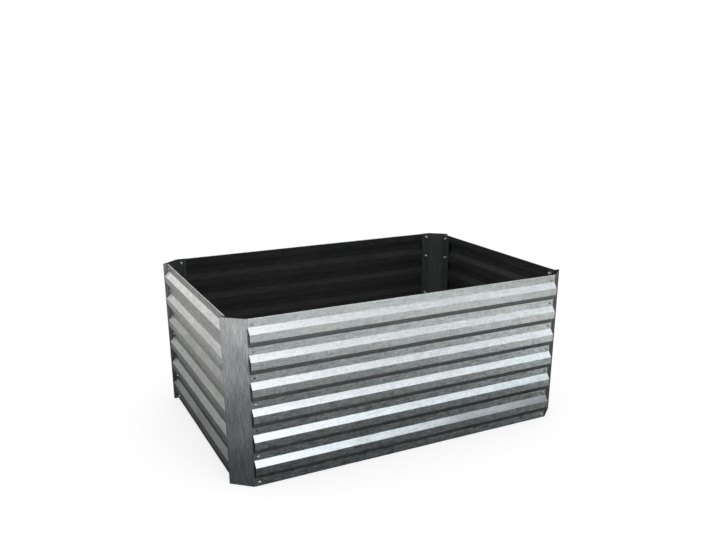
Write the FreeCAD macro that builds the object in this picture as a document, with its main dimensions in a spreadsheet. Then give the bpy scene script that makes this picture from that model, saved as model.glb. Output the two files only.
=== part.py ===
import FreeCAD, Part
import Sketcher
import math
import os

# Raised garden bed, open at the top and the bottom. Four ribbed sheet-steel panels are
# bolted to four folded corner posts. The origin is at the middle of the bed on the ground,
# with X along the long front, Y towards the back and Z up. Sizes are in millimetres.

DOCUMENT = FreeCAD.newDocument("RaisedGardenBed")
SHEET = DOCUMENT.addObject("Spreadsheet::Sheet", "Sizes")

SIZES = (
    # The bed, from the front panel's flats to the back panel's, and between the sharp corners
    # of the posts' outer folds. The cut-off corners, and how far the side panels stand back.
    ("bed_width", 1048),
    ("bed_depth", 700),
    ("chamfer_across", 55),
    ("chamfer_back", 48),
    ("post_return", 18),
    # The panel's rolled section: ribs stand out of the flats.
    ("panel_sheet", 0.8),
    ("rib_count", 6),
    ("rib_crest", 19.5),
    ("rib_slope", 16),
    ("rib_depth", 12),
    ("valley_flat", 19.5),
    ("end_flat", 21.75),
    ("panel_bend", 2),
    # The panel's top edge is folded back on its outside.
    ("hem_height", 6),
    ("hem_gap", 0.4),
    # The folded post, and where the panel ends beside its fold.
    ("post_sheet", 1.2),
    ("post_bend", 1.2),
    ("flange_width", 30),
    ("panel_end_gap", 4),
    # The punched holes.
    ("hole_diameter", 5.8),
    # The pan-head bolt with a cross recess.
    ("bolt_diameter", 5),
    ("bolt_length", 12),
    ("bolt_tip", 0.7),
    ("head_diameter", 8.6),
    ("head_height", 3),
    ("head_round", 2.1),
    ("recess_span", 4.6),
    ("recess_width", 1),
    ("recess_depth", 1.6),
    # The washer and the nut inside the bed.
    ("washer_diameter", 10),
    ("washer_bore", 5.4),
    ("washer_sheet", 1),
    ("nut_across", 8),
    ("nut_height", 4.2),
    ("nut_corner_cut", 0.5),
    ("thread_clearance", 0.1),
)

for row, (name, size) in enumerate(SIZES, start=1):
    SHEET.set(f"A{row}", str(size))
    SHEET.setAlias(f"A{row}", name)
DOCUMENT.recompute()

# Heights that follow from the rolled section, as expressions on the sheet.
RIB_BASE = "(Sizes.rib_crest + 2 * Sizes.rib_slope)"
RIB_PITCH = f"({RIB_BASE} + Sizes.valley_flat)"
BED_HEIGHT = f"(2 * Sizes.end_flat + Sizes.rib_count * {RIB_PITCH} - Sizes.valley_flat)"
LOWEST_VALLEY = f"(Sizes.end_flat + {RIB_BASE} + Sizes.valley_flat / 2)"
BOTTOM_HOLE = "(Sizes.end_flat / 2)"
TOP_HOLE = f"({BED_HEIGHT} - (Sizes.end_flat + Sizes.hem_height) / 2)"
HOLE_FROM_FOLD = "(Sizes.flange_width / 2)"

# Two places closer than this are the same place.
TOUCH = 0.01

# Where a new sketch's points wait until their dimensions carry them to their places.
START_RADIUS = 50
START_CIRCLE = 5


def size_of(name):
    """A driving size, as a number."""
    return float(SHEET.get(name))


def bed_height():
    """The height of the panels and posts, as a number."""
    rib_base = size_of("rib_crest") + 2 * size_of("rib_slope")
    pitch = rib_base + size_of("valley_flat")
    return 2 * size_of("end_flat") + size_of("rib_count") * pitch - size_of("valley_flat")


def origin_feature(body, role):
    """One of the body's own origin planes or axes."""
    return next(item for item in body.Origin.OriginFeatures if item.Role == role)


def attached_sketch(body, name, plane):
    """An empty sketch on one of the body's own origin planes."""
    sketch = body.newObject("Sketcher::SketchObject", name)
    sketch.AttachmentSupport = [(origin_feature(body, plane), "")]
    sketch.MapMode = "FlatFace"
    return sketch


def hold_point(sketch, geometry, point, start, place):
    """Dimension a point of the sketch from its origin, across and up."""
    for kind, now, size in (("DistanceX", start.x, place[0]), ("DistanceY", start.y, place[1])):
        rule = Sketcher.Constraint(kind, -1, 1, geometry, point, now)
        number = sketch.addConstraint(rule)
        sketch.setExpression(f"Constraints[{number}]", size)


def outline_sketch(body, name, plane, corners):
    """A straight-sided closed outline. The corners start on a circle, and their dimensions
    carry each of them to its place."""
    sketch = attached_sketch(body, name, plane)
    count = len(corners)
    turns = [2 * math.pi * index / count for index in range(count)]
    starts = [FreeCAD.Vector(math.cos(turn), math.sin(turn), 0) * START_RADIUS for turn in turns]
    for index in range(count):
        sketch.addGeometry(Part.LineSegment(starts[index], starts[(index + 1) % count]), False)
    for index in range(count):
        sketch.addConstraint(Sketcher.Constraint("Coincident", index, 2, (index + 1) % count, 1))
    for index, corner in enumerate(corners):
        hold_point(sketch, index, 1, starts[index], corner)
    return sketch


def rectangle(low_across, high_across, low_up, high_up):
    """The four corners of an upright rectangle, anticlockwise."""
    lower = [(low_across, low_up), (high_across, low_up)]
    return lower + [(high_across, high_up), (low_across, high_up)]


def circles_sketch(body, name, plane, circles):
    """Circles, each given by its centre's two places and its diameter."""
    sketch = attached_sketch(body, name, plane)
    for index, (across, up, diameter) in enumerate(circles):
        start = FreeCAD.Vector(4 * START_CIRCLE * index, 0, 0)
        sketch.addGeometry(Part.Circle(start, FreeCAD.Vector(0, 0, 1), START_CIRCLE), False)
        hold_point(sketch, index, 3, start, (across, up))
        number = sketch.addConstraint(Sketcher.Constraint("Diameter", index, 2 * START_CIRCLE))
        sketch.setExpression(f"Constraints[{number}]", diameter)
    return sketch


def extrude(body, kind, name, sketch, length, symmetric=False, reverse=False):
    """A Pad or a Pocket of a sketch, to a length or, with no length, through everything."""
    feature = body.newObject(f"PartDesign::{kind}", name)
    feature.Profile = sketch
    if length is None:
        feature.Type = "ThroughAll"
    else:
        feature.setExpression("Length", length)
    if symmetric:
        feature.SideType = "Symmetric"
    feature.Reversed = reverse
    return feature


def repeat_upwards(body, name, originals, spacing, count):
    """Copies of some features up the body's Z axis."""
    pattern = body.newObject("PartDesign::LinearPattern", name)
    pattern.Originals = originals
    pattern.Direction = (origin_feature(body, "Z_Axis"), [""])
    pattern.Mode = "Spacing"
    pattern.setExpression("Offset", spacing)
    pattern.setExpression("Occurrences", count)
    body.Tip = pattern
    return pattern


def round_edges(body, name, radius, wanted):
    """A fillet on the edges of the body that a test picks."""
    DOCUMENT.recompute()
    base = body.Tip
    numbered = enumerate(base.Shape.Edges, start=1)
    picked = [f"Edge{index}" for index, edge in numbered if wanted(edge)]
    fillet = body.newObject("PartDesign::Fillet", name)
    fillet.Base = (base, picked)
    fillet.setExpression("Radius", radius)
    body.Tip = fillet
    return fillet


def place_on_bed(piece, across, back, turn=0):
    """Stand a piece on the ground at a place that follows the sheet, turned about Z."""
    piece.Placement = FreeCAD.Placement(FreeCAD.Vector(0, 0, 0), FreeCAD.Vector(0, 0, 1), turn)
    piece.setExpression("Placement.Base.x", across)
    piece.setExpression("Placement.Base.y", back)


def punch_holes(body, name, plane, places, step):
    """The punched holes of one piece: one in each flat at the bottom and the top, and one in
    every valley between ribs, or in every other one where the step is 2. Places are the
    distances of the columns along the piece."""
    size = "Sizes.hole_diameter"
    ends = [(place, height, size) for place in places for height in (BOTTOM_HOLE, TOP_HOLE)]
    end_sketch = circles_sketch(body, f"{name}EndSketch", plane, ends)
    extrude(body, "Pocket", f"{name}EndHoles", end_sketch, None, symmetric=True)
    lowest = [(place, LOWEST_VALLEY, size) for place in places]
    valley_sketch = circles_sketch(body, f"{name}ValleySketch", plane, lowest)
    holes = extrude(body, "Pocket", f"{name}ValleyHoles", valley_sketch, None, symmetric=True)
    count = f"ceil((Sizes.rib_count - 1) / {step})"
    repeat_upwards(body, f"{name}Valleys", [holes], f"{step} * {RIB_PITCH}", count)


# Ribbed panel. Its own frame has X along the sheet, Z up, and Y into the bed, with the
# outside of the flats at Y = 0. The sheet is rolled with trapezoid ribs that stand outwards
# and stay open at the ends.

SLOPE_LENGTH = "sqrt(Sizes.rib_depth ^ 2 + Sizes.rib_slope ^ 2)"
BEND_SHIFT = f"(Sizes.panel_sheet * ({SLOPE_LENGTH} - Sizes.rib_slope) / Sizes.rib_depth)"


def rib_section(skin):
    """The four corners of the lowest rib's section, between a plane near the flats and one
    near the crest: the outer face of the sheet, or the inner face when skin is true."""
    foot, shift = ("Sizes.panel_sheet", BEND_SHIFT) if skin else ("0", "0")
    crest = f"{foot} - Sizes.rib_depth"
    low = f"Sizes.end_flat + {shift}"
    high = f"Sizes.end_flat + {RIB_BASE} - {shift}"
    on_flats = [(foot, low), (foot, high)]
    return on_flats + [(crest, f"{high} - Sizes.rib_slope"), (crest, f"{low} + Sizes.rib_slope")]


def straight_along_sheet(edge, depth):
    """True for an edge that runs along the sheet at a bend of a rib, at this depth."""
    middle = edge.CenterOfMass
    in_ribs = TOUCH < middle.z < bed_height() - TOUCH
    return edge.BoundBox.XLength > TOUCH and in_ribs and abs(middle.y - depth) < TOUCH


def ribbed_panel(label, length, across, back, turn):
    body = DOCUMENT.addObject("PartDesign::Body", label)
    body.Label = label
    blank = rectangle("0", "Sizes.panel_sheet", "0", BED_HEIGHT)
    flat = outline_sketch(body, f"{label}FlatSketch", "YZ_Plane", blank)
    extrude(body, "Pad", f"{label}Flat", flat, length, symmetric=True)

    outer = outline_sketch(body, f"{label}RibSketch", "YZ_Plane", rib_section(skin=False))
    rib = extrude(body, "Pad", f"{label}Rib", outer, length, symmetric=True)
    inner = outline_sketch(body, f"{label}HollowSketch", "YZ_Plane", rib_section(skin=True))
    hollow = extrude(body, "Pocket", f"{label}Hollow", inner, length, symmetric=True)
    repeat_upwards(body, f"{label}Ribs", [rib, hollow], RIB_PITCH, "Sizes.rib_count")

    # Bends: the tight side of each fold has the bend's own radius, the other side one sheet more.
    sheet, depth = size_of("panel_sheet"), size_of("rib_depth")
    tight = (0, sheet - depth)
    wide = (sheet, -depth)
    round_edges(body, f"{label}TightBends", "Sizes.panel_bend",
                lambda edge: any(straight_along_sheet(edge, level) for level in tight))
    round_edges(body, f"{label}WideBends", "Sizes.panel_bend + Sizes.panel_sheet",
                lambda edge: any(straight_along_sheet(edge, level) for level in wide))

    # Hem: a lip folded down over the outside of the top edge, with a thin slit behind it.
    lip_foot = f"{BED_HEIGHT} - Sizes.hem_height"
    lip = rectangle("-(Sizes.panel_sheet + Sizes.hem_gap)", "0", lip_foot, BED_HEIGHT)
    lip_sketch = outline_sketch(body, f"{label}LipSketch", "YZ_Plane", lip)
    extrude(body, "Pad", f"{label}Lip", lip_sketch, length, symmetric=True)
    slit = rectangle("-Sizes.hem_gap", "0", lip_foot, f"{BED_HEIGHT} - Sizes.panel_sheet")
    slit_sketch = outline_sketch(body, f"{label}SlitSketch", "YZ_Plane", slit)
    body.Tip = extrude(body, "Pocket", f"{label}Slit", slit_sketch, length, symmetric=True)
    round_edges(body, f"{label}HemRound", "Sizes.panel_sheet + Sizes.hem_gap / 4",
                lambda edge: edge.BoundBox.ZMin > bed_height() - TOUCH and edge.BoundBox.XLength > TOUCH)

    # Holes: a column at each end, in line with the middle of the post's flange.
    column = f"(({length}) / 2 + Sizes.panel_end_gap - {HOLE_FROM_FOLD})"
    punch_holes(body, f"{label}Punched", "XZ_Plane", [f"-{column}", column], 1)
    place_on_bed(body, across, back, turn)
    return body


FRONT_LENGTH = "Sizes.bed_width - 2 * (Sizes.chamfer_across + Sizes.panel_end_gap)"
SIDE_LENGTH = "Sizes.bed_depth - 2 * (Sizes.chamfer_back + Sizes.panel_end_gap)"
SIDE_WALL = "(Sizes.bed_width / 2 - Sizes.post_return)"

panels = [
    ribbed_panel("front_panel", FRONT_LENGTH, "0", "-Sizes.bed_depth / 2", 0),
    ribbed_panel("back_panel", FRONT_LENGTH, "0", "Sizes.bed_depth / 2", 180),
    ribbed_panel("left_panel", SIDE_LENGTH, f"-{SIDE_WALL}", "0", -90),
    ribbed_panel("right_panel", SIDE_LENGTH, SIDE_WALL, "0", 90),
]


# Corner post: one strip of sheet with three upright folds. A flange lies behind the front or
# back panel's end, and the middle strip cuts the corner off. There the strip folds sharply
# back on itself, returns to the side panel and ends in a flange behind that panel's end. Its
# own frame has the corner where the two outer faces would meet at the origin.

FACE = "Sizes.panel_sheet"
BACK = "(Sizes.panel_sheet + Sizes.post_sheet)"
SIDE_FACE = "(Sizes.post_return + Sizes.panel_sheet)"
SIDE_BACK = f"({SIDE_FACE} + Sizes.post_sheet)"
CHAMFER_RISE = "(Sizes.chamfer_back - Sizes.panel_sheet)"
CHAMFER_LENGTH = f"sqrt(Sizes.chamfer_across ^ 2 + {CHAMFER_RISE} ^ 2)"
HALF_TURN = f"(({CHAMFER_LENGTH} - Sizes.chamfer_across) / {CHAMFER_RISE})"

# The folds of the outer face and of the inner face, and the strip's ends. HALF_TURN is the
# tangent of half the turn from the front flange to the middle strip.
OUTER_FOLDS = [("Sizes.chamfer_across", FACE), ("0", "Sizes.chamfer_back")]
OUTER_FLANGE_FOLD = (SIDE_FACE, "Sizes.chamfer_back")
INNER_FOLDS = [
    (f"(Sizes.chamfer_across + Sizes.post_sheet * {HALF_TURN})", BACK),
    (f"(Sizes.post_sheet / {HALF_TURN})", "(Sizes.chamfer_back - Sizes.post_sheet)"),
]
INNER_FLANGE_FOLD = (SIDE_BACK, "(Sizes.chamfer_back - Sizes.post_sheet)")
FRONT_END = "(Sizes.chamfer_across + Sizes.flange_width)"
SIDE_END = "(Sizes.chamfer_back + Sizes.flange_width)"


def upright_near(body, corners):
    """A test for the upright edges of a body's outline at some corners of its sketch."""
    DOCUMENT.recompute()
    sketch = body.Group[0]
    places = [sketch.getPoint(corner, 1) for corner in corners]

    def test(edge):
        middle = edge.CenterOfMass
        near = [math.hypot(middle.x - place.x, middle.y - place.y) < TOUCH for place in places]
        return edge.BoundBox.ZLength > TOUCH and any(near)

    return test


def corner_post(corner, side_x, side_y):
    """The post of one corner. Its section is mirrored to suit the sides it stands on."""
    label = f"corner_post_{corner}"
    body = DOCUMENT.addObject("PartDesign::Body", label)
    body.Label = label
    outer = [(FRONT_END, FACE), *OUTER_FOLDS, OUTER_FLANGE_FOLD, (SIDE_FACE, SIDE_END)]
    inner = [(FRONT_END, BACK), *INNER_FOLDS, INNER_FLANGE_FOLD, (SIDE_BACK, SIDE_END)]
    section = [(f"{-side_x} * {across}", f"{-side_y} * {back}") for across, back in outer + inner[::-1]]
    strip = outline_sketch(body, f"{label}Sketch", "XY_Plane", section)
    body.Tip = extrude(body, "Pad", f"{label}Strip", strip, BED_HEIGHT)

    # The wide side of each fold: twice on the outer face, and on the inner face at the flange.
    round_edges(body, f"{label}WideFolds", "Sizes.post_bend + Sizes.post_sheet",
                upright_near(body, (1, 2, 6)))
    round_edges(body, f"{label}TightFolds", "Sizes.post_bend",
                upright_near(body, (3, 7, 8)))

    front_column = f"{-side_x} * (Sizes.chamfer_across + {HOLE_FROM_FOLD})"
    side_column = f"{-side_y} * (Sizes.chamfer_back + {HOLE_FROM_FOLD})"
    punch_holes(body, f"{label}Front", "XZ_Plane", [front_column], 2)
    punch_holes(body, f"{label}Side", "YZ_Plane", [side_column], 2)
    place_on_bed(body, f"{side_x} * Sizes.bed_width / 2", f"{side_y} * Sizes.bed_depth / 2")
    return body


# The four corners: name, side along X, side along Y.
CORNERS = (
    ("front_left", -1, -1),
    ("front_right", 1, -1),
    ("back_right", 1, 1),
    ("back_left", -1, 1),
)

posts = [corner_post(*corner) for corner in CORNERS]


# Bolt: pan head with a cross recess. Its own frame has the axis along Z, with the underside
# of the head at Z = 0 and the shank below.

def half_turned(body, name, sketch):
    """A full revolution of a half section about the body's Z axis."""
    feature = body.newObject("PartDesign::Revolution", name)
    feature.Profile = sketch
    feature.ReferenceAxis = (sketch, ["V_Axis"])
    feature.Angle = 360
    body.Tip = feature
    return feature


def pan_head_bolt():
    body = DOCUMENT.addObject("PartDesign::Body", "bolt")
    shank = "Sizes.bolt_diameter / 2"
    section = [
        ("0", "-Sizes.bolt_length"),
        (f"{shank} - Sizes.bolt_tip", "-Sizes.bolt_length"),
        (shank, "-Sizes.bolt_length + Sizes.bolt_tip"),
        (shank, "0"),
        ("Sizes.head_diameter / 2", "0"),
        ("Sizes.head_diameter / 2", "Sizes.head_height"),
        ("0", "Sizes.head_height"),
    ]
    half_turned(body, "BoltTurned", outline_sketch(body, "BoltSketch", "XZ_Plane", section))
    rim, top = size_of("head_diameter") / 2, size_of("head_height")
    round_edges(body, "HeadRound", "Sizes.head_round",
                lambda edge: edge.BoundBox.ZMin > top - TOUCH and edge.BoundBox.XMax > rim - TOUCH)

    arm, half = "Sizes.recess_span / 2", "Sizes.recess_width / 2"
    left, low = f"-({half})", f"-({arm})"
    cross = [
        (half, arm), (left, arm), (left, half), (low, half),
        (low, left), (left, left), (left, low), (half, low),
        (half, left), (arm, left), (arm, half), (half, half),
    ]
    recess = outline_sketch(body, "RecessSketch", "XY_Plane", cross)
    recess.setExpression("AttachmentOffset.Base.z", "Sizes.head_height")
    body.Tip = extrude(body, "Pocket", "Recess", recess, "Sizes.recess_depth")
    return body


# Washer and nut, each with its outer face at Z = 0 and its body below, on the same axis.

def flat_washer():
    body = DOCUMENT.addObject("PartDesign::Body", "washer")
    rings = [("0", "0", "Sizes.washer_diameter"), ("0", "0", "Sizes.washer_bore")]
    ring = circles_sketch(body, "WasherSketch", "XY_Plane", rings)
    body.Tip = extrude(body, "Pad", "WasherRing", ring, "Sizes.washer_sheet", reverse=True)
    return body


NUT_RADIUS = "Sizes.nut_across / sqrt(3)"


def hex_nut():
    body = DOCUMENT.addObject("PartDesign::Body", "nut")
    turns = [math.radians(60 * index) for index in range(6)]
    corners = [tuple(f"{NUT_RADIUS} * {way(turn):.9f}" for way in (math.cos, math.sin)) for turn in turns]
    hexagon = outline_sketch(body, "NutSketch", "XY_Plane", corners)
    extrude(body, "Pad", "NutBlock", hexagon, "Sizes.nut_height", reverse=True)

    # The free face's corners are turned off to a cone of 30 degrees.
    cone_foot = f"{NUT_RADIUS} - Sizes.nut_corner_cut * sqrt(3)"
    beyond = f"{NUT_RADIUS} + Sizes.nut_corner_cut * sqrt(3)"
    cut = [
        (beyond, "-Sizes.nut_height - Sizes.nut_corner_cut"),
        (beyond, "-Sizes.nut_height + 2 * Sizes.nut_corner_cut"),
        (cone_foot, "-Sizes.nut_height"),
        (cone_foot, "-Sizes.nut_height - Sizes.nut_corner_cut"),
    ]
    cone = outline_sketch(body, "NutConeSketch", "XZ_Plane", cut)
    groove = body.newObject("PartDesign::Groove", "NutCone")
    groove.Profile = cone
    groove.ReferenceAxis = (cone, ["V_Axis"])
    groove.Angle = 360

    bore_size = "Sizes.bolt_diameter + Sizes.thread_clearance"
    bore = circles_sketch(body, "NutBoreSketch", "XY_Plane", [("0", "0", bore_size)])
    body.Tip = extrude(body, "Pocket", "NutBore", bore, None, symmetric=True)
    return body


bolt = pan_head_bolt()
washer = flat_washer()
nut = hex_nut()
DOCUMENT.recompute()


# Fastener groups: each corner has a bolt, a washer and a nut in the top and the bottom flat
# and in every other valley, on each of its two walls. The panel's other holes stay empty,
# and lie over the post's plain flange.

def bolt_heights():
    """Where the bolts sit above the ground, on each end of each panel."""
    rib_base = size_of("rib_crest") + 2 * size_of("rib_slope")
    pitch = rib_base + size_of("valley_flat")
    top = bed_height() - (size_of("end_flat") + size_of("hem_height")) / 2
    lowest_valley = size_of("end_flat") + rib_base + size_of("valley_flat") / 2
    valleys = [lowest_valley + pitch * step for step in range(0, int(size_of("rib_count")) - 1, 2)]
    return [top] + valleys + [size_of("end_flat") / 2]


def fastener_group(label, master, side_x, side_y, depth):
    """Copies of one fastener at a corner, with its own Z = 0 face this deep in the walls."""
    half_width, half_depth = size_of("bed_width") / 2, size_of("bed_depth") / 2
    along_x = half_width - size_of("chamfer_across") - size_of("flange_width") / 2
    along_y = half_depth - size_of("chamfer_back") - size_of("flange_width") / 2
    face_x = half_width - size_of("post_return") - depth
    face_y = half_depth - depth
    up = FreeCAD.Vector(0, 0, 1)
    walls = (
        (FreeCAD.Vector(side_x * along_x, side_y * face_y, 0), FreeCAD.Vector(0, side_y, 0)),
        (FreeCAD.Vector(side_x * face_x, side_y * along_y, 0), FreeCAD.Vector(side_x, 0, 0)),
    )
    copies = []
    for foot, outward in walls:
        turn = FreeCAD.Rotation(up, outward)
        for height in bolt_heights():
            copy = master.Shape.copy()
            copy.Placement = FreeCAD.Placement(foot + up * height, turn)
            copies.append(copy)
    group = DOCUMENT.addObject("Part::Feature", label)
    group.Label = label
    group.Shape = Part.makeCompound(copies)
    return group


washer_depth = size_of("panel_sheet") + size_of("post_sheet")
nut_depth = washer_depth + size_of("washer_sheet")
fasteners = []
for corner, side_x, side_y in CORNERS:
    fasteners.append(fastener_group(f"bolts_{corner}", bolt, side_x, side_y, 0))
    fasteners.append(fastener_group(f"washers_{corner}", washer, side_x, side_y, washer_depth))
    fasteners.append(fastener_group(f"nuts_{corner}", nut, side_x, side_y, nut_depth))

DOCUMENT.recompute()


# Check the whole document, then write each piece to its own file.

for item in DOCUMENT.Objects:
    if "Invalid" in item.State or "Error" in item.State:
        raise RuntimeError(f"{item.Name} did not build: {item.State}")

pieces = panels + posts + fasteners
os.makedirs("parts", exist_ok=True)
for piece in pieces:
    if piece.Shape.isNull() or not piece.Shape.isValid():
        raise RuntimeError(f"{piece.Label} has no valid shape")
for piece in pieces:
    piece.Shape.exportStep(f"parts/{piece.Label}.step")
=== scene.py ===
import math

import bpy
import numpy as np
from mathutils import Matrix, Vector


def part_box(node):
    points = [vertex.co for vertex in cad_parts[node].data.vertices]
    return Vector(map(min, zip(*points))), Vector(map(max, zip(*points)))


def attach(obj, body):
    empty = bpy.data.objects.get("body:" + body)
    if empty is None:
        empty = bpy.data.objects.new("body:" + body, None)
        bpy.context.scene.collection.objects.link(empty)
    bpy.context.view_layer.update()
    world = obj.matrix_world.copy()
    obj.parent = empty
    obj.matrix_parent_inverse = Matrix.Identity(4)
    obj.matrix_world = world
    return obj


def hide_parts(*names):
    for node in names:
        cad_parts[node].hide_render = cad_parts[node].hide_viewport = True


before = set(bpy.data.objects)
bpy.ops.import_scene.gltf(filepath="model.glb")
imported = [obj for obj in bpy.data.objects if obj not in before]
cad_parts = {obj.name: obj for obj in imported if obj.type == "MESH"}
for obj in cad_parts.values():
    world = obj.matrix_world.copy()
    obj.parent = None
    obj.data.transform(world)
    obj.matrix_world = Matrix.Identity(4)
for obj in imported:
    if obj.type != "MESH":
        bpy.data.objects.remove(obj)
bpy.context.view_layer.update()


# Ribbed panels. Each is one galvanised steel sheet, rolled with trapezoid ribs that stand out
# of its flats and stay open at the ends. The top edge is folded back on the outside as a hem,
# and the ends are punched for the bolts. The inner face is painted dark as painted shade.

SHEET = 0.0008
RIBS = 6
RIB_CREST = 0.0195
RIB_SLOPE = 0.016
RIB_DEPTH = 0.012
VALLEY = 0.0195
END_FLAT = 0.02175
BEND = 0.002
HEM_HEIGHT = 0.006
HEM_GAP = 0.0004
HOLE_RADIUS = 0.0029
HOLE_FROM_END = 0.011
WAVINESS = 0.00012
LEVELS_REACH = 1.2

RIB_PITCH = RIB_CREST + 2 * RIB_SLOPE + VALLEY
BED_HEIGHT = 2 * END_FLAT + RIBS * RIB_PITCH - VALLEY
TOP_HOLE = BED_HEIGHT - (END_FLAT + HEM_HEIGHT) / 2
VALLEY_HOLES = END_FLAT + RIB_PITCH * np.arange(1, RIBS) - VALLEY / 2
HOLE_HEIGHTS = np.concatenate([[END_FLAT / 2], VALLEY_HOLES, [TOP_HOLE]])
BOLTED = np.concatenate([[END_FLAT / 2], VALLEY_HOLES[::2], [TOP_HOLE]])


def wall_of(side, outward):
    """The way a wall faces, how far the outside of its flats is from the middle of the bed,
    and half its length."""
    low, high = (np.array(corner)[:2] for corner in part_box(f"{side}_panel"))
    inner = min(abs(low @ outward), abs(high @ outward))
    return outward, inner + SHEET, abs((high - low) @ outward[::-1]) / 2


WALLS = {
    "front": wall_of("front", (0, -1)),
    "back": wall_of("back", (0, 1)),
    "left": wall_of("left", (-1, 0)),
    "right": wall_of("right", (1, 0)),
}


ARC_STEPS = 4
PATCH = 0.0048
PATCH_CELLS = 6
GRID_SPACING = 0.014
SHARP_EDGE = math.radians(40)


def bent_line(corners, radii):
    """A line of straight runs with round bends. Each bend starts its radius times the tangent
    of half its turn before the corner. From there the heading turns evenly, and a point is the
    bend's start plus the radius times the change in the heading's sine and cosine.
    Returns the points, the headings, and each point's distance along the line."""
    runs = np.diff(corners, axis=0)
    headings = np.arctan2(runs[:, 1], runs[:, 0])
    turns = (np.diff(headings) + np.pi) % (2 * np.pi) - np.pi
    starts = np.stack([np.cos(headings[:-1]), np.sin(headings[:-1])], axis=1)
    starts = corners[1:-1] - starts * (radii * np.tan(np.abs(turns) / 2))[:, None]
    swept = headings[:-1, None] + turns[:, None] * np.linspace(0, 1, ARC_STEPS + 1)
    signed = (radii * np.sign(turns))[:, None]
    across = starts[:, :1] + signed * (np.sin(swept) - np.sin(headings[:-1, None]))
    up = starts[:, 1:] - signed * (np.cos(swept) - np.cos(headings[:-1, None]))
    points = np.stack([across.ravel(), up.ravel()], axis=1)
    points = np.concatenate([corners[:1], points, corners[-1:]])
    facing = np.concatenate([headings[:1], swept.ravel(), headings[-1:]])
    steps = np.hypot(*np.diff(points, axis=0).T)
    return points, facing, np.concatenate([[0], np.cumsum(steps)])


def punched_grid(along, up, centres, radius):
    """Quads between the lines of a grid, with a round hole at each centre. The square patch
    round a hole is left out, and rings of quads blend from its edge to the circle: a ring's
    point is the patch's edge point moved a share of the way to the circle."""
    side = np.linspace(-1, 1, PATCH_CELLS + 1)[:-1]
    ones = np.ones(PATCH_CELLS)
    edge = np.concatenate([
        np.stack([side, -ones], axis=1), np.stack([ones, side], axis=1),
        np.stack([-side, ones], axis=1), np.stack([-ones, -side], axis=1),
    ])
    columns, rows = len(along), len(up)
    number = np.arange(columns * rows).reshape(rows, columns)
    quads = np.stack([number[:-1, :-1], number[:-1, 1:], number[1:, 1:], number[1:, :-1]], axis=-1)
    middles = np.stack(np.meshgrid((along[1:] + along[:-1]) / 2, (up[1:] + up[:-1]) / 2), axis=-1)
    away = np.abs(middles[:, :, None, :] - centres).max(axis=-1).min(axis=-1)
    quads = quads[away > PATCH].reshape(-1, 4)

    patch = centres[:, None, :] + edge * PATCH
    slack = PATCH / PATCH_CELLS / 2
    outer = number[np.searchsorted(up, patch[..., 1] - slack), np.searchsorted(along, patch[..., 0] - slack)]
    circle = centres[:, None, :] + radius * edge / np.hypot(*edge.T)[:, None]
    points = [np.stack(np.meshgrid(along, up), axis=-1).reshape(-1, 2)]
    count = columns * rows
    for share in (0.6, 1):
        points.append((patch + share * (circle - patch)).reshape(-1, 2))
        inner = count + np.arange(outer.size).reshape(outer.shape)
        ring = np.stack([outer, np.roll(outer, -1, axis=1), np.roll(inner, -1, axis=1), inner], axis=-1)
        quads = np.concatenate([quads, ring.reshape(-1, 4)])
        outer = inner
        count += inner.size
    return np.concatenate(points), quads


def lines_between(low, high, spacing, kept):
    """Grid lines about one spacing apart, and the lines of each patch round a hole."""
    patches = (kept[:, None] + PATCH * np.linspace(-1, 1, PATCH_CELLS + 1)).ravel()
    even = np.linspace(low, high, round((high - low) / spacing) + 1)
    clear = np.abs(even[:, None] - kept).min(axis=1) > PATCH + spacing / 4
    clear[[0, -1]] = True
    return np.unique(np.concatenate([even[clear], patches]).round(7))


def new_piece(name, points, faces):
    """An object at the origin, shaded smooth but for its sharp edges."""
    mesh = bpy.data.meshes.new(name)
    mesh.from_pydata(points.tolist(), [], faces)
    mesh.shade_smooth()
    mesh.set_sharp_from_angle(angle=SHARP_EDGE)
    piece = bpy.data.objects.new(name, mesh)
    bpy.context.scene.collection.objects.link(piece)
    return piece


def closed_sheet(name, skins, quads, painted_shade_shares):
    """A sheet of metal as one closed surface. The outer face's quads are repeated, turned over,
    on the inner face, and each edge that only one quad has gets a quad across the thickness.
    Each face carries its share of painted shade as a value on its points."""
    used = np.unique(quads)
    renumber = np.zeros(len(skins[0]), int)
    renumber[used] = np.arange(len(used))
    quads = renumber[quads]
    count = len(used)
    starts, ends = quads.ravel(), np.roll(quads, -1, axis=1).ravel()
    free = ~np.isin(starts * count + ends, ends * count + starts)
    starts, ends = starts[free], ends[free]
    rim = np.stack([ends, starts, starts + count, ends + count], axis=1)
    faces = np.concatenate([quads, quads[:, ::-1] + count, rim])
    piece = new_piece(name, np.concatenate([skin[used] for skin in skins]), faces.tolist())
    shade_paint = piece.data.attributes.new("backing", "FLOAT", "POINT")
    shade_paint.data.foreach_set("value", np.concatenate([values[used] for values in painted_shade_shares]).astype(np.float32))
    return piece


def on_wall(outward, wall, along, out, up):
    """Points given along a wall, out from its flats and up, carried to the wall's own side of
    the bed: the way it faces times its distance, plus the way along it."""
    x = -outward[1] * along + outward[0] * (wall + out)
    y = outward[0] * along + outward[1] * (wall + out)
    return np.stack([x, y, up], axis=-1)


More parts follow.
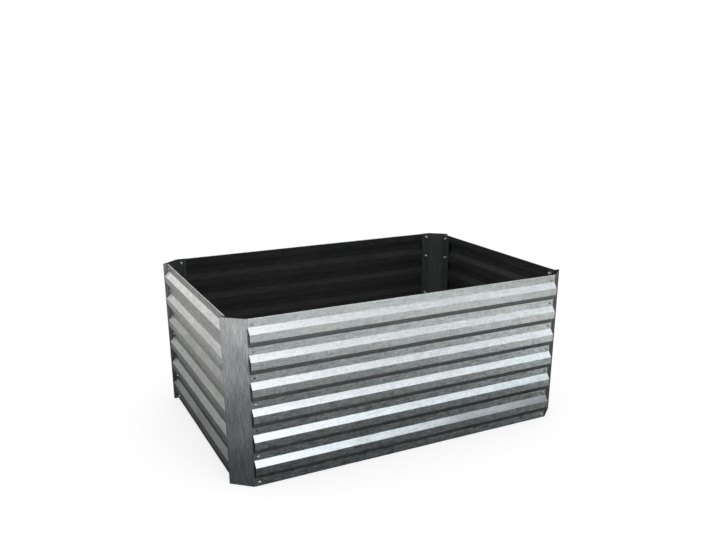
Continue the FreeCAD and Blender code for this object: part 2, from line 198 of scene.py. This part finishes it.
def rolled_section():
    """The outer face of the section as corners, out from the flats and up, and the radius of
    each bend. The sheet turns in at a crest, where its outer face has the wider bend."""
    foot = END_FLAT + RIB_PITCH * np.arange(RIBS)[:, None]
    rises = np.array([0, RIB_SLOPE, RIB_SLOPE + RIB_CREST, 2 * RIB_SLOPE + RIB_CREST])
    heights = (foot + rises).ravel()
    outs = np.tile([0, RIB_DEPTH, RIB_DEPTH, 0], RIBS)
    fold = BED_HEIGHT - SHEET
    heights = np.concatenate([[0], heights, [fold, fold, BED_HEIGHT - HEM_HEIGHT]])
    outs = np.concatenate([[0], outs, [0, HEM_GAP, HEM_GAP]])
    radii = np.tile([BEND, BEND + SHEET, BEND + SHEET, BEND], RIBS)
    return np.stack([outs, heights], axis=1), np.concatenate([radii, [HEM_GAP / 2] * 2])


def ribbed_panel(side, seed):
    """The section carried along the wall. A grid of distances along the wall and along the
    section is punched, and each of its points goes to the section's point at that distance.
    The sheet is a little wavy: the sum of three sines, fading out towards the bolts. The inner
    face is painted dark up to the fold of the hem, as painted shade."""
    outward, wall, half = WALLS[side]
    section, facing, distance = bent_line(*rolled_section())
    hem = len(section) - 2 * (ARC_STEPS + 1) - 1
    hole_marks = np.interp(HOLE_HEIGHTS, section[:hem + 1, 1], distance[:hem + 1])
    patches = (hole_marks[:, None] + PATCH * np.linspace(-1, 1, PATCH_CELLS + 1)).ravel()
    painted_shade_end = distance[hem] - SHEET
    up = np.unique(np.concatenate([distance, patches, [painted_shade_end]]).round(7))
    columns = np.array([HOLE_FROM_END - half, half - HOLE_FROM_END])
    along = lines_between(-half, half, GRID_SPACING, columns)
    centres = np.stack(np.meshgrid(columns, hole_marks), axis=-1).reshape(-1, 2)
    marks, quads = punched_grid(along, up, centres, HOLE_RADIUS)

    out, height, turned = (np.interp(marks[:, 1], distance, values) for values in (*section.T, facing))
    waves = np.random.default_rng(seed).uniform(0, 2 * np.pi, 3)
    wave = np.sin(marks[:, 0] * 19 + waves[0]) + np.sin(marks[:, 0] * 43 + height * 31 + waves[1])
    wave = wave + np.sin(height * 60 - marks[:, 0] * 11 + waves[2])
    out = out + WAVINESS * wave * (1 - (marks[:, 0] / half) ** 8)
    outer = on_wall(outward, wall, marks[:, 0], out, height)
    inner = on_wall(outward, wall, marks[:, 0], out - SHEET * np.sin(turned), height + SHEET * np.cos(turned))
    # Painted shade: the inner face, up to the fold of the hem, is painted dark.
    backing = (marks[:, 1] < painted_shade_end + SHEET / 2).astype(float)
    return closed_sheet(f"rolled_{side}_panel", (outer, inner), quads, (0 * backing, backing))


class Term:
    """One value of a finish. An expression on Terms adds its Math nodes to the finish."""

    def __init__(self, tree, socket=None):
        self.tree = tree
        self.socket = socket

    def node(self, kind, settings, sockets, output=0):
        """Add a node: its settings, then a value or a Term for each socket, then its output,
        or a list of outputs. Stops are a ramp's places and colours."""
        made = self.tree.nodes.new(kind)
        for name, value in settings.items():
            if name == "stops":
                ramp = made.color_ramp
                while len(ramp.elements) < len(value):
                    ramp.elements.new(1)
                for element, (place, colour) in zip(ramp.elements, value):
                    element.position = place
                    element.color = colour
            else:
                setattr(made, name, value)
        for name, value in sockets.items():
            if isinstance(value, Term):
                self.tree.links.new(value.socket, made.inputs[name])
            else:
                made.inputs[name].default_value = value
        if isinstance(output, tuple):
            return [Term(self.tree, made.outputs[name]) for name in output]
        return Term(self.tree, made.outputs[output])

    def maths(self, operation, first, second=0.0):
        return self.node("ShaderNodeMath", {"operation": operation}, {0: first, 1: second})

    def __add__(self, other):
        return self.maths("ADD", self, other)

    def __sub__(self, other):
        return self.maths("SUBTRACT", self, other)

    def __mul__(self, other):
        return self.maths("MULTIPLY", self, other)

    def __rsub__(self, other):
        return self.maths("SUBTRACT", other, self)

    __radd__ = __add__
    __rmul__ = __mul__

    def between(self, low, high):
        """0 below low, 1 above high, and a smooth step from one to the other."""
        return self.node("ShaderNodeMapRange", {"interpolation_type": "SMOOTHSTEP"},
                         {"Value": self, "From Min": low, "From Max": high})

    def shaded(self, levels, cool=(0, 0)):
        """Greys at evenly spaced places from 0 to 1, from their levels on a screen. The turn to
        blue goes evenly from the first grey's to the last one's."""
        places = np.linspace(0, 1, len(levels)).tolist()
        turns = np.linspace(*cool, len(levels)).tolist()
        stops = [(place, grey(level, turn)) for place, level, turn in zip(places, levels, turns)]
        return self.node("ShaderNodeValToRGB", {"stops": stops}, {0: self})

    def mixed(self, first, second):
        """The first colour where this value is 0, and the second where it is 1."""
        return self.node("ShaderNodeMix", {"data_type": "RGBA"}, {0: self, 6: first, 7: second}, 2)


def grey(level, cool=0.0):
    """A near-neutral colour from its level on a screen, 0 to 1, turned a little to blue."""
    shades = np.array([level * (1 - cool), level, level * (1 + cool / 2)])
    linear = np.where(shades < 0.04, shades / 12.92, ((shades + 0.055) / 1.055) ** 2.4)
    return (*linear.tolist(), 1)


def new_finish(name):
    """An empty material and the Term that starts its expressions."""
    material = bpy.data.materials.new(name)
    material.use_nodes = True
    material.node_tree.nodes.clear()
    return material, Term(material.node_tree)


def place_noise(finish, place, stretch, detail, seed):
    """Noise over the piece, with its own scale along X, Y and Z."""
    moved = {"Vector": place, "Location": (seed, seed, seed), "Scale": stretch}
    scaled = finish.node("ShaderNodeMapping", {}, moved)
    return finish.node("ShaderNodeTexNoise", {}, {"Vector": scaled, "Scale": 1, "Detail": detail})


def finish_off(finish, colour, roughness, metallic, relief, depth, edge=0.65):
    """Lead the finish's values to the surface, with the relief as bumps this deep. The low
    specular level and the grey edge tint keep zinc dull where it is seen at a slant."""
    normal = finish.node("ShaderNodeBump", {}, {"Height": relief, "Strength": 1, "Distance": depth})
    surface = finish.node("ShaderNodeBsdfPrincipled", {}, {
        "Base Color": colour, "Roughness": roughness, "Metallic": metallic, "Normal": normal,
        "Specular IOR Level": 0.2, "Specular Tint": grey(edge)})
    finish.node("ShaderNodeOutputMaterial", {}, {"Surface": surface}, ())


def galvanised_sheet(name, axis, flats, over, under, painted_sheen, cool):
    """Zinc with painted light and shade in its levels, from the ground up to a fifth over the bed:
    dark near the ground and pale near the top, for the upright faces, for those that look up,
    which are paler still with a painted sky reflection, and for those that look down, which are
    darker with painted shade. Each kind moves up its levels by a share of the place along the
    wall and a share of its square, and the painted sheen on the faces that look up has such
    shares too. Spangle, streaks and flecks break the zinc up. Where the painted shade mask is
    set, the zinc gives way to a dark grey, painted as shade."""
    material, finish = new_finish(name)
    place, facing = finish.node("ShaderNodeTexCoord", {}, {}, ("Object", "Normal"))
    along, z = finish.node("ShaderNodeSeparateXYZ", {}, {0: place}, (axis, "Z"))
    tip = finish.node("ShaderNodeSeparateXYZ", {}, {0: facing}, "Z")
    backing = finish.node("ShaderNodeAttribute", {"attribute_name": "backing"}, {}, "Fac")

    clouds = place_noise(finish, place, (9, 9, 14), 3, 0)
    streaks = place_noise(finish, place, (30, 30, 330), 5, 5)
    flecks = place_noise(finish, place, (130, 130, 420), 3, 2)
    stains = place_noise(finish, place, (26, 26, 60), 4, 9)
    crystals = finish.node("ShaderNodeTexVoronoi", {}, {"Vector": place, "Scale": 105}, "Color")
    crystal = finish.node("ShaderNodeSeparateColor", {}, {0: crystals}, 0)

    # The levels, dark near the ground and pale near the top, are painted light and shade.
    height = z * (1 / BED_HEIGHT) + (clouds - 0.5) * 0.16
    kinds = []
    for levels, slope, bow in (flats, over, under):
        kinds.append(((height + (along * bow + slope) * along) * (1 / LEVELS_REACH)).shaded(levels, cool))
    # Faces that look up get a painted highlight, like a sky reflection, and those that look down get painted
    # shade.
    looks_up, looks_down = tip.between(0.15, 0.55), (0 - tip).between(0.15, 0.55)
    painted_highlight = looks_up * ((along * painted_sheen[2] + painted_sheen[1]) * along + painted_sheen[0] - 1)
    coarse = (1 - looks_up) * (2.8 - z * 5.5)
    mottle = ((crystal - 0.5) * 0.12 + (streaks - 0.5) * 0.5 + (flecks - 0.5) * 0.5) * (1 + coarse)
    zinc = looks_down.mixed(looks_up.mixed(kinds[0], kinds[1]), kinds[2])
    zinc = finish.node("ShaderNodeHueSaturation", {}, {"Value": 1 + mottle + painted_highlight, "Color": zinc})
    stain = stains.between(0.35, 0.65).mixed((0.96, 1, 1, 1), (1, 1, 0.94, 1))
    zinc = finish.node("ShaderNodeMix", {"data_type": "RGBA", "blend_type": "MULTIPLY"},
                       {0: 1 - looks_up * 0.8, 6: zinc, 7: stain}, 2)
    # The dark grey of the inner face is painted shade.
    shade_paint = (streaks * 1.2 + clouds * 0.4).between(0.5, 1.2).mixed(grey(0.13), grey(0.2, 0.02))
    painted_shade_mask = backing.between(0.4, 0.6)
    colour = painted_shade_mask.mixed(zinc, shade_paint)
    roughness = 0.38 + crystal * 0.08 + (streaks - 0.5) * 0.16 + painted_shade_mask * 0.12
    metallic = 0.8 - painted_shade_mask * 0.8
    relief = crystal * 0.35 + streaks * 0.5 + flecks * 0.25
    finish_off(finish, colour, roughness, metallic, relief, 0.0002)
    return material


# Both sheets carry painted light and shade; the side sheet's levels are painted for the duller light on the
# sides.
front_lit_zinc = galvanised_sheet(
    "galvanised_sheet", "X",
    flats=((0.30, 0.36, 0.43, 0.56, 0.69, 0.74, 0.67), 0.35, 0.4),
    over=((0.54, 0.92, 0.93, 0.88, 0.87, 0.83, 0.83), -0.3, 0),
    under=((0.24, 0.36, 0.50), 0, 0), painted_sheen=(0.935, -0.02, 0.55), cool=(0.05, 0.015))
side_shaded_zinc = galvanised_sheet(
    "galvanised_side_sheet", "Y",
    flats=((0.08, 0.28, 0.42, 0.57, 0.68, 0.60, 0.50), 0, 0),
    over=((0.38, 0.55, 0.68, 0.66, 0.86, 0.95, 0.95), 0, 0),
    under=((0.14, 0.30, 0.50), 0, 0), painted_sheen=(1.02, 0.4, 0), cool=(0.01, -0.012))
for seed, side in enumerate(WALLS, start=1):
    panel = ribbed_panel(side, seed)
    panel.data.materials.append(front_lit_zinc if side in ("front", "back") else side_shaded_zinc)
    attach(panel, "root")
    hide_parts(f"{side}_panel")


# Corner posts. Each is one folded strip of galvanised steel: a flange behind the front or back
# panel, the face that cuts the corner off, a sharp fold, a return to the side panel, and a
# second flange. Both flanges are punched and bolted to the panels' ends.

POST_SHEET = 0.0012
POST_BEND = 0.0012
CHAMFER_ACROSS = 0.055
CHAMFER_BACK = 0.048
POST_RETURN = 0.018
FLANGE = 0.030

CORNERS = {
    "front_left": (-1, -1),
    "front_right": (1, -1),
    "back_right": (1, 1),
    "back_left": (-1, 1),
}


def post_section():
    """The strip's outer face in plan, across from the corner and back from it, and its bends.
    The first two folds turn towards the bed, with the wide side of the bend outside."""
    corners = np.array([
        (CHAMFER_ACROSS + FLANGE, SHEET),
        (CHAMFER_ACROSS, SHEET),
        (0, CHAMFER_BACK),
        (POST_RETURN + SHEET, CHAMFER_BACK),
        (POST_RETURN + SHEET, CHAMFER_BACK + FLANGE),
    ])
    return corners, np.array([POST_BEND + POST_SHEET, POST_BEND + POST_SHEET, POST_BEND])


def folded_post(corner):
    """The strip's outline in plan, carried up. A grid of distances along the strip and heights
    is punched, and each point goes to the strip's point at that distance. The outside is painted
    dark on the first flange, and half as much on the return and the other flange, and the inside
    all over, as painted shade."""
    side_x, side_y = CORNERS[corner]
    section, facing, distance = bent_line(*post_section())
    columns = np.array([FLANGE / 2, distance[-1] - FLANGE / 2])
    patches = (columns[:, None] + PATCH * np.linspace(-1, 1, PATCH_CELLS + 1)).ravel()
    along = np.unique(np.concatenate([distance, patches]).round(7))
    up = lines_between(0, BED_HEIGHT, GRID_SPACING, BOLTED)
    centres = np.stack(np.meshgrid(columns, BOLTED), axis=-1).reshape(-1, 2)
    marks, quads = punched_grid(along, up, centres, HOLE_RADIUS)

    across, back, turned = (np.interp(marks[:, 0], distance, values) for values in (*section.T, facing))
    half_width, half_depth = WALLS["right"][1] + POST_RETURN, WALLS["back"][1]
    skins = []
    for depth in (0, POST_SHEET):
        x = side_x * (half_width - across - depth * np.sin(turned))
        y = side_y * (half_depth - back + depth * np.cos(turned))
        skins.append(np.stack([x, y, marks[:, 1]], axis=1))
    if side_x * side_y > 0:
        quads = quads[:, ::-1]
    fold = distance[1 + ARC_STEPS // 2 + ARC_STEPS + 1]
    # Painted shade: the flange behind the panel in full, and half of it on the return and the other flange.
    outside_painted_shade = (marks[:, 0] < distance[1]) + 0.5 * (marks[:, 0] > fold)
    return closed_sheet(f"folded_post_{corner}", skins, quads, (outside_painted_shade, np.ones(len(marks))))


def galvanised_strip(name, levels):
    """Zinc with upright streaks from the folding rolls, and painted shade that darkens it towards
    the ground. Where the painted shade mask is set, it is a dark grey, painted as shade.
    """
    material, finish = new_finish(name)
    place = finish.node("ShaderNodeTexCoord", {}, {}, "Object")
    z = finish.node("ShaderNodeSeparateXYZ", {}, {0: place}, "Z")
    backing = finish.node("ShaderNodeAttribute", {"attribute_name": "backing"}, {}, "Fac")

    clouds = place_noise(finish, place, (16, 16, 12), 3, 3)
    streaks = place_noise(finish, place, (260, 260, 30), 4, 7)
    grain = place_noise(finish, place, (420, 420, 90), 3, 1)
    height = z * (1 / BED_HEIGHT) + (clouds - 0.5) * 0.3 + (streaks - 0.5) * 0.2
    # Levels from dark near the ground to light at the top: painted shade.
    zinc = height.shaded(levels, (0.05, 0.005))
    mottle = (streaks - 0.5) * 0.9 + (clouds - 0.5) * 0.2 + (grain - 0.5) * 0.8
    zinc = finish.node("ShaderNodeHueSaturation", {}, {"Value": 1 + mottle, "Color": zinc})
    # The dark grey is painted shade.
    shade_paint = streaks.mixed(grey(0.2), grey(0.3, 0.02))
    painted_shade_mask = backing.between(0.4, 0.6)
    colour = painted_shade_mask.mixed(zinc, shade_paint)
    roughness = 0.38 + (streaks - 0.5) * 0.3 + painted_shade_mask * 0.1
    metallic = 0.85 - painted_shade_mask * 0.75
    finish_off(finish, colour, roughness, metallic, streaks * 0.7 + grain * 0.3, 0.0002, 0.25)
    return material


# The right-hand posts get lower levels than the left-hand ones: painted shade.
left_zinc = galvanised_strip("galvanised_strip", (0.27, 0.335, 0.43, 0.565, 0.685))
right_shaded_zinc = galvanised_strip("painted_shade_strip", (0.21, 0.26, 0.33, 0.42, 0.50))
for corner, (side_x, side_y) in CORNERS.items():
    post = folded_post(corner)
    post.data.materials.append(left_zinc if side_x < 0 else right_shaded_zinc)
    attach(post, "root")
    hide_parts(f"corner_post_{corner}")


# Fasteners. A cross-recessed pan bolt, a washer and a nut sit in the end flats and every
# other valley, on both walls of each corner. Each has its own Z = 0 face towards the head.

HEAD_RADIUS = 0.0043
HEAD_HEIGHT = 0.003
HEAD_ROUND = 0.0021
RECESS_FOOT = 0.00035
RECESS_EDGE = 0.0005
ARM_FOOT = 0.0021
ARM_EDGE = 0.0023
ARM_MIDDLE = 0.0013
RECESS_DEPTH = 0.0016
RECESS_RISE = 0.4
CROWN = 0.0025
CROWN_START = 0.001
UNDER_ROUND = 0.00015
SHANK_RADIUS = 0.0025
BOLT_LENGTH = 0.012
BOLT_TIP = 0.0007
THREAD_START = 0.0068
THREAD_PITCH = 0.0008
THREAD_DEPTH = 0.0004
THREAD_STEPS = 8
WASHER_RADIUS = 0.005
WASHER_BORE = 0.0027
WASHER_SHEET = 0.001
WASHER_ROUND = 0.00015
NUT_ACROSS = 0.008
NUT_HEIGHT = 0.0042
NUT_FACE = 0.95
NUT_CUT_STEPS = 5
NUT_BITE = 0.0001
NUT_MOUTH = 0.0003
NUT_MOUTH_DEPTH = 0.0004
RING = 48


def ring_points(radii, heights):
    """Rings about the Z axis: the radius times the cosine and sine of evenly spaced turns.
    Radii are one to a ring or one to a point."""
    turns = 2 * np.pi * np.arange(RING) / RING
    heights = np.asarray(heights, float)[:, None] + 0 * turns
    radii = np.asarray(radii, float).reshape(len(heights), -1)
    return np.stack([radii * np.cos(turns), radii * np.sin(turns), heights], axis=-1).reshape(-1, 3)


def ring_quads(number):
    """Quads from each ring to the next, where number holds the points' numbers, ring by ring."""
    first, second = number[:-1], number[1:]
    quads = [first, second, np.roll(second, -1, axis=1), np.roll(first, -1, axis=1)]
    return np.stack(quads, axis=-1).reshape(-1, 4)


def pan_bolt():
    """The head's top is a square grid, pressed in at the cross, whose rings turn from squares
    to circles outwards. From its edge rings run round the head, down the shank and along the
    thread, whose radius is a cosine of the height in pitches less the turn. A flat ends it."""
    half = np.array([0, RECESS_FOOT, RECESS_EDGE, ARM_MIDDLE, ARM_FOOT, ARM_EDGE, CROWN])
    lines = np.concatenate([-half[:0:-1], half])
    x, y = np.meshgrid(lines, lines)
    reach = np.maximum(abs(x), abs(y))
    narrow = np.minimum(abs(x), abs(y))
    pressed = (narrow <= RECESS_FOOT) & (reach <= ARM_FOOT)
    roundness = np.clip((reach - CROWN_START) / (CROWN - CROWN_START), 0, 1)
    squash = 1 + roundness * (reach / np.maximum(np.hypot(x, y), CROWN_START) - 1)
    depth = pressed * RECESS_DEPTH * (1 - RECESS_RISE * reach / ARM_FOOT)
    top = np.stack([x * squash, y * squash, HEAD_HEIGHT - depth], axis=-1).reshape(-1, 3)
    number = np.arange(len(top)).reshape(x.shape)
    quads = np.stack([number[:-1, :-1], number[:-1, 1:], number[1:, 1:], number[1:, :-1]], axis=-1)
    edge = np.flatnonzero(reach.ravel() == CROWN)
    edge = edge[np.argsort(np.arctan2(y, x).ravel()[edge] % (2 * np.pi))]

    tilt = np.radians([20, 34, 48, 62, 76, 90])
    thread = np.arange(THREAD_START, BOLT_LENGTH - BOLT_TIP, THREAD_PITCH / THREAD_STEPS)
    heights = np.concatenate([
        HEAD_HEIGHT - HEAD_ROUND * (1 - np.cos(tilt)), [UNDER_ROUND, 0, 0], -thread, [-BOLT_LENGTH]])
    flat = HEAD_RADIUS - HEAD_ROUND
    radii = np.concatenate([
        flat + HEAD_ROUND * np.sin(tilt), [HEAD_RADIUS, HEAD_RADIUS - UNDER_ROUND, SHANK_RADIUS]])
    turns = np.arange(RING) / RING
    wave = 0.5 - 0.5 * np.cos(2 * np.pi * (thread[:, None] / THREAD_PITCH - turns))
    radii = np.concatenate([
        np.repeat(radii[:, None], RING, axis=1), SHANK_RADIUS - THREAD_DEPTH * wave,
        np.full((1, RING), SHANK_RADIUS - BOLT_TIP)])
    rings = len(top) + np.arange(len(heights) * RING).reshape(-1, RING)
    quads = np.concatenate([quads.reshape(-1, 4), ring_quads(np.concatenate([edge[None], rings]))])
    return np.concatenate([top, ring_points(radii, heights)]), quads.tolist() + [rings[-1, ::-1].tolist()]


def closed_rings(radii, heights):
    """A ring-shaped solid: its rings run round its own section and end where they began."""
    number = np.arange(len(heights) * RING).reshape(-1, RING)
    return ring_points(radii, heights), ring_quads(np.concatenate([number, number[:1]])).tolist()


def flat_washer():
    """A ring of plain sheet whose four edges are cut off at a slant."""
    rim, bore = WASHER_RADIUS, WASHER_BORE
    soft, back = WASHER_ROUND, WASHER_SHEET
    radii = [bore, bore + soft, rim - soft, rim, rim, rim - soft, bore + soft, bore]
    return closed_rings(radii, [-soft, 0, 0, -soft, soft - back, -back, -back, soft - back])


def hex_nut():
    """Each point's radius is the smaller of the hexagon's and the chamfer cone's, which slopes
    at 30 degrees. The bore bites a little into the crests of the bolt's thread."""
    turns = 2 * np.pi * np.arange(RING) / RING
    hexagon = NUT_ACROSS / 2 / np.cos((turns + np.pi / 6) % (np.pi / 3) - np.pi / 6)
    limits = np.linspace(NUT_FACE * NUT_ACROSS / 2, hexagon.max(), NUT_CUT_STEPS)
    drops = (limits - limits[0]) / math.sqrt(3)
    bore, mouth = SHANK_RADIUS - NUT_BITE, SHANK_RADIUS + NUT_MOUTH
    radii = np.concatenate([[bore, mouth], limits, limits[::-1], [mouth, bore]])
    near = np.concatenate([[-NUT_MOUTH_DEPTH, 0], -drops])
    heights = np.concatenate([near, -NUT_HEIGHT - near[::-1]])
    return closed_rings(np.minimum(radii[:, None], hexagon), heights)


def bolted_group(name, corner, shape, depth, seed):
    """Copies of one fastener at a corner, each with its own turn about its axis."""
    points, faces = shape
    side_x, side_y = CORNERS[corner]
    chance = np.random.default_rng(seed)
    long_wall = WALLS["front" if side_y < 0 else "back"]
    short_wall = WALLS["left" if side_x < 0 else "right"]
    copies = []
    for (outward, wall, half), end in ((long_wall, -side_x * side_y), (short_wall, side_x * side_y)):
        for height in BOLTED:
            turn = chance.uniform(0, 2 * np.pi)
            along = points[:, 0] * math.cos(turn) - points[:, 1] * math.sin(turn)
            up = points[:, 0] * math.sin(turn) + points[:, 1] * math.cos(turn)
            along = along + end * (half - HOLE_FROM_END)
            copies.append(on_wall(outward, wall, along, points[:, 2] - depth, up + height))
    every = [[index + copy * len(points) for index in face] for copy in range(len(copies)) for face in faces]
    return new_piece(f"{name}_{corner}", np.concatenate(copies), every)


def bright_zinc(name):
    """Bright zinc plate, with a painted highlight where it faces up and painted shade where it
    faces down, darker towards the ground, and duller in patches.
    """
    material, finish = new_finish(name)
    place, facing = finish.node("ShaderNodeTexCoord", {}, {}, ("Object", "Normal"))
    z = finish.node("ShaderNodeSeparateXYZ", {}, {0: place}, "Z")
    tip = finish.node("ShaderNodeSeparateXYZ", {}, {0: facing}, "Z")
    patches = place_noise(finish, place, (260, 260, 260), 3, 4)
    height = z * (1 / BED_HEIGHT)
    # Painted highlight on the faces that look up, painted shade on those that look down.
    lit = (tip + patches * 0.3).between(-0.05, 0.9)
    colour = lit.mixed(height.shaded((0.30, 0.38, 0.56)), height.shaded((0.95, 0.95, 0.82)))
    finish_off(finish, colour, 0.28 + patches * 0.16, 1 - patches * 0.1, patches, 0.00005)
    return material


plated = bright_zinc("bright_zinc")
washer_depth = SHEET + POST_SHEET
for seed, corner in enumerate(CORNERS):
    groups = (
        ("pan_bolts", "bolts", pan_bolt(), 0),
        ("round_washers", "washers", flat_washer(), washer_depth),
        ("hex_nuts", "nuts", hex_nut(), washer_depth + WASHER_SHEET),
    )
    for name, node, shape, depth in groups:
        group = bolted_group(name, corner, shape, depth, seed)
        group.data.materials.append(plated)
        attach(group, "root")
        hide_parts(f"{node}_{corner}")


# Studio. A pale floor that keeps the bed's faint shadow, white surroundings that light it
# evenly, and one soft lamp from the front.

FLOOR = 30
FLOOR_GLOW = 1.42
GLOW_SHARE = 0.5
SKY_LIGHT = 0.7
SKY_SEEN = 0.3

floor_mesh = bpy.data.meshes.new("floor")
floor_corners = [(-FLOOR, -FLOOR, 0), (FLOOR, -FLOOR, 0), (FLOOR, FLOOR, 0), (-FLOOR, FLOOR, 0)]
floor_mesh.from_pydata(floor_corners, [], [(0, 1, 2, 3)])
floor = bpy.data.objects.new("floor", floor_mesh)
bpy.context.scene.collection.objects.link(floor)


def seen_directly(finish):
    """1 for what the camera, a reflection or a clear pane shows, and 0 for what only lights."""
    rays = ("Is Camera Ray", "Is Glossy Ray", "Is Transmission Ray")
    camera_ray, glossy_ray, clear_ray = finish.node("ShaderNodeLightPath", {}, {}, rays)
    return finish.maths("MINIMUM", camera_ray + glossy_ray + clear_ray, 1)


pale, paint = new_finish("pale_floor")
matt = paint.node("ShaderNodeBsdfDiffuse", {}, {"Color": (0.85, 0.85, 0.85, 1)})
white = paint.node("ShaderNodeEmission", {}, {"Color": (1, 1, 1, 1), "Strength": FLOOR_GLOW})
shown = paint.node("ShaderNodeMixShader", {}, {0: seen_directly(paint) * GLOW_SHARE, 1: matt, 2: white})
paint.node("ShaderNodeOutputMaterial", {}, {"Surface": shown}, ())
floor.data.materials.append(pale)

world = bpy.data.worlds.new("studio")
world.use_nodes = True
world.node_tree.nodes.clear()
sky = Term(world.node_tree)
glow = {"Color": (1, 1, 1, 1), "Strength": seen_directly(sky) * SKY_SEEN + SKY_LIGHT}
backdrop = sky.node("ShaderNodeBackground", {}, glow)
sky.node("ShaderNodeOutputWorld", {}, {"Surface": backdrop}, ())
bpy.context.scene.world = world


def soft_lamp(name, place, aim, size, power):
    """A square lamp at a place, facing a point: its own -Z axis is the way to the point."""
    light = bpy.data.lights.new(name, "AREA")
    light.shape = "SQUARE"
    light.size = size
    light.energy = power
    lamp = bpy.data.objects.new(name, light)
    bpy.context.scene.collection.objects.link(lamp)
    way = np.array(aim, float) - np.array(place, float)
    back = -way / np.linalg.norm(way)
    right = np.cross((0, 0, 1), back)
    right = right / np.linalg.norm(right)
    turned = Matrix(np.stack([right, np.cross(back, right), back], axis=1).tolist()).to_4x4()
    lamp.matrix_world = Matrix.Translation(place) @ turned


soft_lamp("key_lamp", place=(-0.6, -3.2, 3.8), aim=(0, 0, 0.2), size=4, power=45)


# Camera. It stands where the photograph was taken from, found from the bed's straight edges,
# and its axis is a little below the picture's middle.

PHOTO_WIDTH = 716
FOCAL_PIXELS = 748.7
AXIS_BELOW_MIDDLE = 50
CAMERA_PLACE = (-0.9787, -1.9848, 0.9902)
CAMERA_YAW = math.radians(26.272)
CAMERA_PITCH = math.radians(17.792)
CAMERA_ROLL = math.radians(-0.206)

lens = bpy.data.cameras.new("camera")
lens.sensor_width = 36
lens.lens = FOCAL_PIXELS * lens.sensor_width / PHOTO_WIDTH
lens.shift_y = AXIS_BELOW_MIDDLE / PHOTO_WIDTH
camera = bpy.data.objects.new("camera", lens)
bpy.context.scene.collection.objects.link(camera)
turned = Matrix.Rotation(-CAMERA_YAW, 4, "Z") @ Matrix.Rotation(math.pi / 2 - CAMERA_PITCH, 4, "X")
camera.matrix_world = Matrix.Translation(CAMERA_PLACE) @ turned @ Matrix.Rotation(CAMERA_ROLL, 4, "Z")
bpy.context.scene.camera = camera

bpy.context.scene.view_settings.view_transform = "Standard"
